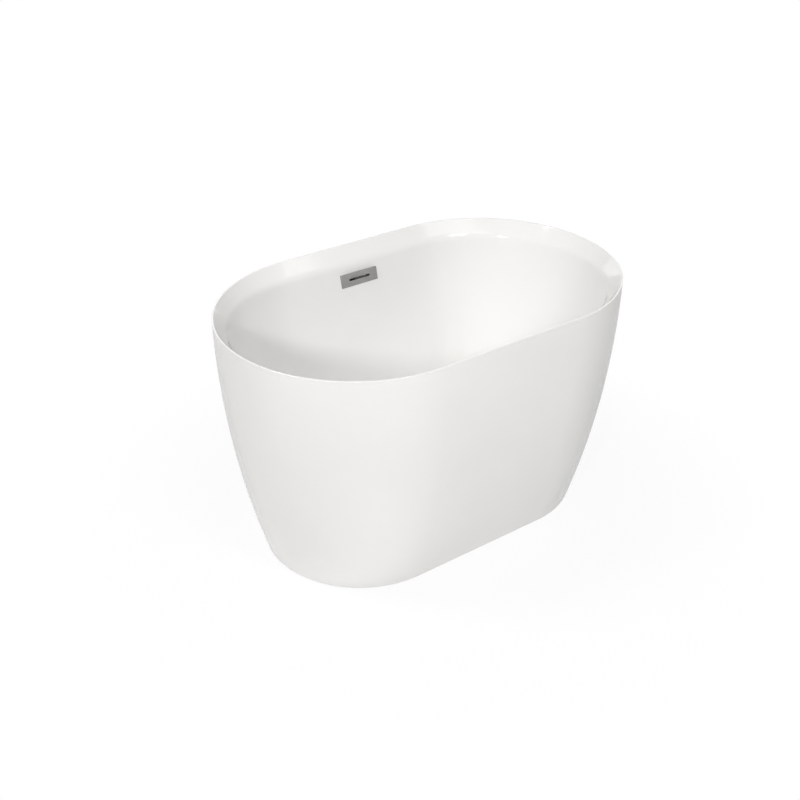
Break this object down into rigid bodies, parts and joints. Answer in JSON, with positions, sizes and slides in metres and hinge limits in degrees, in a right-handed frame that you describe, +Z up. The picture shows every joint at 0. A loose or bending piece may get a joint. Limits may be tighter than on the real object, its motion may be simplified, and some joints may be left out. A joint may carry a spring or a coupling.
{
  "type": "bathtub",
  "caption": "Compact freestanding bathtub with a stadium plan, curved tapering skirt, sloped rim band, slotted overflow plate and click-clack drain plug.",
  "frame": {"origin": "centre of the footprint on the floor under the levelling pads", "axes": "+Z up, +X along the bath, +Y towards the long side that has the overflow"},
  "size_m": [1.1, 0.7, 0.655],
  "materials": {
    "acrylic": "high gloss white sheet acrylic",
    "resin": "cured resin",
    "board": "raw particle board",
    "frame_steel": "grey powder coat",
    "zinc_steel": "zinc plated",
    "pad_plastic": "black moulded plastic",
    "chrome": "polished",
    "seal_rubber": "soft black rubber",
    "waste_plastic": "white moulded plastic",
    "brass": "turned",
    "cover_metal": "satin grey"
  },
  "bodies": {
    "root": {"base_board": "board", "board_screws": "zinc_steel", "bracket_bolts": "zinc_steel", "bracket_screws": "zinc_steel", "crossbar_inserts": "pad_plastic", "foot_lock_nuts": "zinc_steel", "frame_crossbar_left": "frame_steel", "frame_crossbar_right": "frame_steel", "frame_rail_back": "frame_steel", "frame_rail_front": "frame_steel", "frame_weld_nuts": "frame_steel", "inner_basin": "acrylic", "outer_skirt": "acrylic", "overflow_box": "waste_plastic", "overflow_cover": "cover_metal", "overflow_gasket": "seal_rubber", "overflow_inner_frame": "waste_plastic", "overflow_lower_nut": "waste_plastic", "overflow_pipe": "waste_plastic", "overflow_screws": "zinc_steel", "overflow_upper_nut": "waste_plastic", "plug_cartridge": "brass", "plug_spring": "zinc_steel", "rim_bond_bead": "resin", "skirt_bracket_back_left": "zinc_steel", "skirt_bracket_back_right": "zinc_steel", "skirt_bracket_front_left": "zinc_steel", "skirt_bracket_front_right": "zinc_steel", "waste_body": "waste_plastic", "waste_flange": "chrome", "waste_lower_seal": "seal_rubber", "waste_upper_seal": "seal_rubber"},
    "plug": {"plug_cap": "chrome", "plug_plunger": "brass", "plug_seal": "seal_rubber"},
    "foot_pad_front_left": {"foot_pad_front_left": "pad_plastic"},
    "foot_stud_front_left": {"foot_stud_front_left": "zinc_steel"},
    "foot_pad_front_right": {"foot_pad_front_right": "pad_plastic"},
    "foot_stud_front_right": {"foot_stud_front_right": "zinc_steel"},
    "foot_pad_back_left": {"foot_pad_back_left": "pad_plastic"},
    "foot_stud_back_left": {"foot_stud_back_left": "zinc_steel"},
    "foot_pad_back_right": {"foot_pad_back_right": "pad_plastic"},
    "foot_stud_back_right": {"foot_stud_back_right": "zinc_steel"}
  },
  "joints": [
    {"name": "plug_lift", "type": "slide", "parent": "root", "child": "plug", "axis": [0, 0, 1], "range_m": [0, 0.008], "deforming": ["plug_spring"]},
    {"name": "foot_height_front_left", "type": "slide", "parent": "root", "child": "foot_pad_front_left", "axis": [0, 0, 1], "range_m": [-0.02, 0]},
    {"name": "foot_turn_front_left", "type": "hinge", "parent": "foot_pad_front_left", "child": "foot_stud_front_left", "pos_m": [-0.24, -0.185, 0.06], "axis": [0, 0, 1], "range_deg": [-4114.29, 0]},
    {"name": "foot_height_front_right", "type": "slide", "parent": "root", "child": "foot_pad_front_right", "axis": [0, 0, 1], "range_m": [-0.02, 0]},
    {"name": "foot_turn_front_right", "type": "hinge", "parent": "foot_pad_front_right", "child": "foot_stud_front_right", "pos_m": [0.24, -0.185, 0.06], "axis": [0, 0, 1], "range_deg": [-4114.29, 0]},
    {"name": "foot_height_back_left", "type": "slide", "parent": "root", "child": "foot_pad_back_left", "axis": [0, 0, 1], "range_m": [-0.02, 0]},
    {"name": "foot_turn_back_left", "type": "hinge", "parent": "foot_pad_back_left", "child": "foot_stud_back_left", "pos_m": [-0.24, 0.185, 0.06], "axis": [0, 0, 1], "range_deg": [-4114.29, 0]},
    {"name": "foot_height_back_right", "type": "slide", "parent": "root", "child": "foot_pad_back_right", "axis": [0, 0, 1], "range_m": [-0.02, 0]},
    {"name": "foot_turn_back_right", "type": "hinge", "parent": "foot_pad_back_right", "child": "foot_stud_back_right", "pos_m": [0.24, 0.185, 0.06], "axis": [0, 0, 1], "range_deg": [-4114.29, 0]}
  ],
  "couplings": [
    {"joint": "foot_turn_front_left", "follows": "foot_height_front_left", "rad_per_m": 3590.4},
    {"joint": "foot_turn_front_right", "follows": "foot_height_front_right", "rad_per_m": 3590.4},
    {"joint": "foot_turn_back_left", "follows": "foot_height_back_left", "rad_per_m": 3590.4},
    {"joint": "foot_turn_back_right", "follows": "foot_height_back_right", "rad_per_m": 3590.4}
  ]
}
